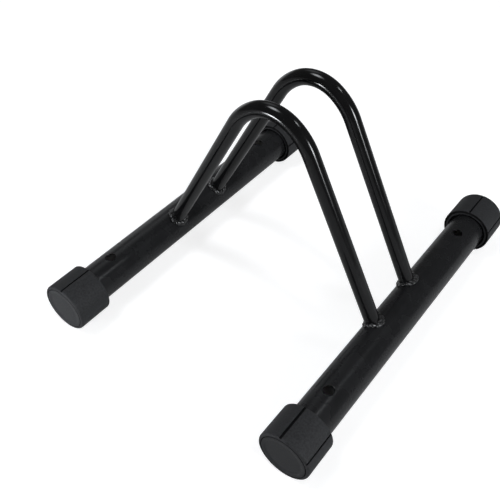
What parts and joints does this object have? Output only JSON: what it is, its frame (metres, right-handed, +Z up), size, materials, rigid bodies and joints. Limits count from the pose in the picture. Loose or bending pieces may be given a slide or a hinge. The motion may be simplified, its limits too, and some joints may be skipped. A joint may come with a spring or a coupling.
{
  "type": "hoop bike rack",
  "caption": "Low floor stand that holds a bicycle wheel upright between two bent tube hoops on rubber-capped foot tubes.",
  "frame": {"origin": "on the floor, under the middle of the stand", "axes": "+Z up, X the way the wheel rolls in with the front foot tube at +X, Y along the foot tubes"},
  "size_m": [0.3312, 0.4036, 0.2423],
  "materials": {
    "foot_paint": "satin black powder coat on steel tube",
    "hoop_paint": "gloss black powder coat on steel tube",
    "weld_paint": "black powder coat over a rippled weld bead",
    "cap_rubber": "matt charcoal moulded rubber"
  },
  "bodies": {
    "root": {"rear_foot_tube": "foot_paint", "front_foot_tube": "foot_paint", "right_hoop": "hoop_paint", "left_hoop": "hoop_paint", "rear_right_weld": "weld_paint", "rear_left_weld": "weld_paint", "front_right_weld": "weld_paint", "front_left_weld": "weld_paint", "rear_right_cap": "cap_rubber", "rear_left_cap": "cap_rubber", "front_right_cap": "cap_rubber", "front_left_cap": "cap_rubber"}
  },
  "joints": []
}
